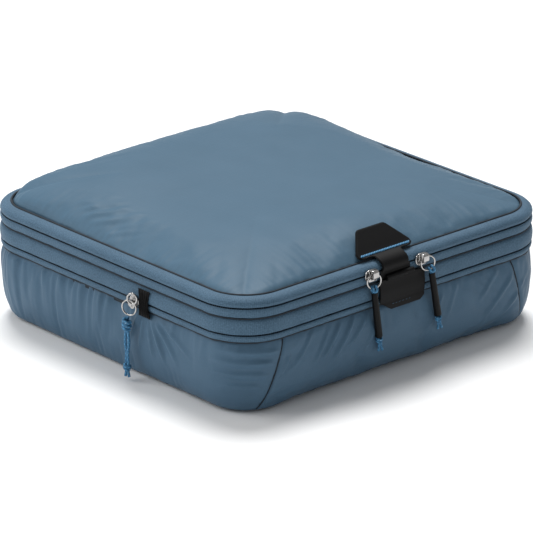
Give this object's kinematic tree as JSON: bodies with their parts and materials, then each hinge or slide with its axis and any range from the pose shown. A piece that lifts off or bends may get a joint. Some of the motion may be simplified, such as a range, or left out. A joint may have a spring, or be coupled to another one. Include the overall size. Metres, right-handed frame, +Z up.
{
  "type": "packing cube",
  "caption": "Soft fabric packing box with a zip-open domed lid, a compression zipper band below it, corded sliders and a pull tab.",
  "frame": {"origin": "centre of the underside, on the surface that the box rests on", "axes": "+Z up, -Y towards the front with the lid tab, -X towards the side with the compression slider"},
  "size_m": [0.3421, 0.3271, 0.1194],
  "materials": {
    "side_fabric": "coated ripstop nylon, soft sheen",
    "gusset_fabric": "coated ripstop nylon, pleated",
    "lid_fabric": "coated nylon, soft sheen",
    "zipper_tape": "woven polyester tape",
    "zipper_coil": "moulded coil",
    "seam_binding": "bound seam",
    "black_rubber": "matt coated",
    "grip_rubber": "shrink tube, satin",
    "blue_thread": "dense stitching",
    "pull_cord": "braided cord",
    "nickel": "polished nickel plate"
  },
  "bodies": {
    "tub": {"base_panel": "side_fabric", "base_binding": "seam_binding", "front_wall": "side_fabric", "back_wall": "side_fabric", "left_wall": "side_fabric", "right_wall": "side_fabric", "corner_seams": "seam_binding", "wall_binding": "seam_binding", "compression_tape_lower": "zipper_tape", "compression_coil_lower": "zipper_coil", "compression_stops": "nickel", "garage_patch": "black_rubber", "expansion_gusset": "gusset_fabric"},
    "rim": {"compression_tape_upper": "zipper_tape", "compression_coil_upper": "zipper_coil", "middle_binding": "seam_binding", "opening_tape_lower": "zipper_tape", "opening_coil_lower": "zipper_coil", "opening_stops_lower": "nickel", "front_patch": "black_rubber", "hinge_panel": "side_fabric"},
    "lid": {"lid_panel": "lid_fabric", "lid_piping": "seam_binding", "lid_binding": "seam_binding", "opening_tape_upper": "zipper_tape", "opening_coil_upper": "zipper_coil", "opening_stops_upper": "nickel", "grab_tab": "black_rubber", "tab_bartack": "blue_thread"},
    "slider_left": {"slider_left": "nickel", "crown_left": "nickel"},
    "ring_left": {"ring_left": "nickel"},
    "pull_left": {"pull_cord_left": "pull_cord", "pull_grip_left": "grip_rubber"},
    "slider_right": {"slider_right": "nickel", "crown_right": "nickel"},
    "ring_right": {"ring_right": "nickel"},
    "pull_right": {"pull_cord_right": "pull_cord", "pull_grip_right": "grip_rubber"},
    "slider_side": {"slider_side": "nickel", "crown_side": "nickel"},
    "ring_side": {"ring_side": "nickel"},
    "pull_side": {"pull_knot_side": "pull_cord", "pull_strands_side": "pull_cord", "pull_end_side": "pull_cord"}
  },
  "joints": [
    {"name": "expansion_lift", "type": "slide", "parent": "tub", "child": "rim", "axis": [0, 0, 1], "range_m": [0, 0.06], "deforming": ["expansion_gusset"]},
    {"name": "lid_hinge", "type": "hinge", "parent": "rim", "child": "lid", "pos_m": [0, 0.1585, 0.088], "axis": [-1, 0, 0], "range_deg": [0, 180]},
    {"name": "left_slider_travel", "type": "slide", "parent": "rim", "child": "slider_left", "axis": [-1, 0, 0], "range_m": [0, 0.076]},
    {"name": "ring_swing_left", "type": "hinge", "parent": "slider_left", "child": "ring_left", "pos_m": [-0.034, -0.1622, 0.09], "axis": [-1, 0, 0], "range_deg": [0, 110]},
    {"name": "pull_swing_left", "type": "hinge", "parent": "ring_left", "child": "pull_left", "pos_m": [-0.034, -0.1622, 0.0782], "axis": [-1, 0, 0], "range_deg": [0, 90]},
    {"name": "right_slider_travel", "type": "slide", "parent": "rim", "child": "slider_right", "axis": [1, 0, 0], "range_m": [0, 0.088]},
    {"name": "ring_swing_right", "type": "hinge", "parent": "slider_right", "child": "ring_right", "pos_m": [0.019, -0.1622, 0.09], "axis": [-1, 0, 0], "range_deg": [0, 110]},
    {"name": "pull_swing_right", "type": "hinge", "parent": "ring_right", "child": "pull_right", "pos_m": [0.02487, -0.16377, 0.07988], "axis": [-1, 0, 0], "range_deg": [0, 90]},
    {"name": "compression_slider_travel", "type": "slide", "parent": "tub", "child": "slider_side", "axis": [0, 1, 0], "range_m": [0, 0.14]},
    {"name": "ring_swing_side", "type": "hinge", "parent": "slider_side", "child": "ring_side", "pos_m": [-0.1702, -0.0365, 0.0665], "axis": [0, 1, 0], "range_deg": [0, 110]},
    {"name": "pull_swing_side", "type": "hinge", "parent": "ring_side", "child": "pull_side", "pos_m": [-0.17176, -0.0322, 0.05519], "axis": [0, 1, 0], "range_deg": [0, 90]}
  ]
}
